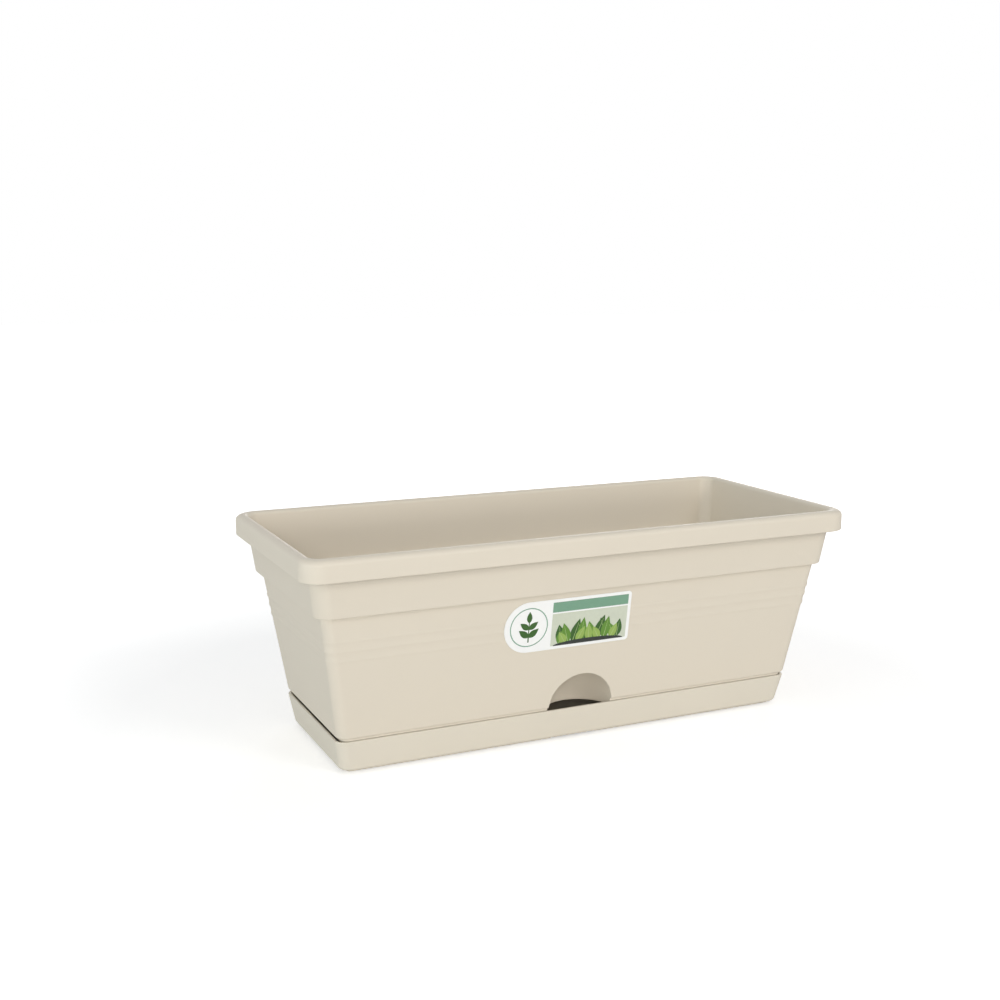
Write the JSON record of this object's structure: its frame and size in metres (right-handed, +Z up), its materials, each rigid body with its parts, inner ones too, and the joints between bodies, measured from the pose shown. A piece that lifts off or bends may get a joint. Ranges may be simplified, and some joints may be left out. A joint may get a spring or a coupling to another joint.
{
  "type": "window box",
  "caption": "Tapered planting trough with a rolled lip, stepped band and half-round filling port, standing on legs in a low drip saucer.",
  "frame": {"origin": "middle of the footprint, on the surface that the saucer's foot ring stands on", "axes": "+X along the box, -Y out of the front with the filling port and the label, +Z up"},
  "size_m": [0.393, 0.172, 0.146],
  "materials": {
    "trough_plastic": "fine matt moulded polypropylene, warm light beige",
    "saucer_plastic": "fine matt moulded polypropylene, warm light beige",
    "label_print": "printed film, white and sage green"
  },
  "bodies": {
    "saucer": {"saucer": "saucer_plastic"},
    "trough": {"trough": "trough_plastic", "label": "label_print"}
  },
  "joints": [
    {"name": "trough_lift", "type": "slide", "parent": "saucer", "child": "trough", "axis": [0, 0, 1], "range_m": [0, 0.06]}
  ]
}
